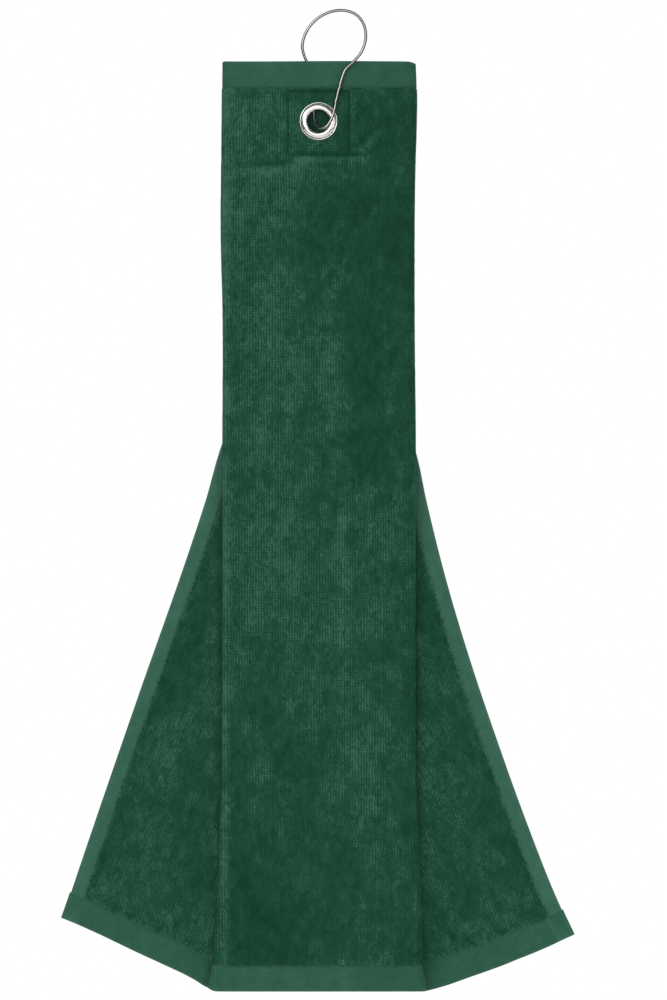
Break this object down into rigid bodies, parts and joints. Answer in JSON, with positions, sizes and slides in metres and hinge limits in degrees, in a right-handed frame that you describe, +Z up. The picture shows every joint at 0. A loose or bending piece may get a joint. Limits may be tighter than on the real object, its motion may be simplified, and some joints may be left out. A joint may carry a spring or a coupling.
{
  "type": "golf towel",
  "caption": "Tri-fold velour golf towel with flat woven hems, a metal grommet and a bent wire hook that hangs it from a golf bag ring.",
  "frame": {"origin": "inside top of the hook's big loop, where a bag ring carries the towel", "axes": "+Z up along the hanging towel, -Y out of its face, +X to its right as seen from the front"},
  "size_m": [0.3522, 0.02, 0.6761],
  "materials": {
    "velour": "dark bottle green cotton velour with brushed pile and fine ribs",
    "hem": "flat woven green cotton hem, lighter than the pile",
    "patch_cloth": "flat woven green cotton backing",
    "thread": "matt green sewing thread",
    "grommet": "bright nickel plate",
    "hook_wire": "polished nickel plated steel wire"
  },
  "bodies": {
    "hook": {"hook_wire": "hook_wire"},
    "towel": {"center_panel": "velour", "center_top_hem": "hem", "center_bottom_hem": "hem", "top_hem_stitching": "thread", "bottom_hem_stitching": "thread", "left_crease_fold": "velour", "right_crease_fold": "velour", "left_side_panel": "velour", "right_side_panel": "velour", "left_panel_top_hem": "hem", "right_panel_top_hem": "hem", "left_hidden_side_hem": "hem", "right_hidden_side_hem": "hem", "reinforcement_patch": "patch_cloth", "patch_stitching": "thread", "grommet_eyelet": "grommet", "grommet_washer": "grommet"},
    "left_wing": {"left_wing_panel": "velour", "left_wing_side_hem": "hem", "left_wing_bottom_hem": "hem", "left_wing_stitching": "thread"},
    "right_wing": {"right_wing_panel": "velour", "right_wing_side_hem": "hem", "right_wing_bottom_hem": "hem", "right_wing_stitching": "thread"}
  },
  "joints": [
    {"name": "hook_swing", "type": "hinge", "parent": "hook", "child": "towel", "pos_m": [-0.0147, 0, -0.0752], "axis": [0, 1, 0], "range_deg": [-25, 25]},
    {"name": "left_wing_fold", "type": "hinge", "parent": "towel", "child": "left_wing", "pos_m": [-0.0814, 0.0129, -0.4], "axis": [0, 0, -1], "range_deg": [0, 179]},
    {"name": "right_wing_fold", "type": "hinge", "parent": "towel", "child": "right_wing", "pos_m": [0.0526, 0.0177, -0.4], "axis": [0, 0, 1], "range_deg": [0, 179]}
  ]
}
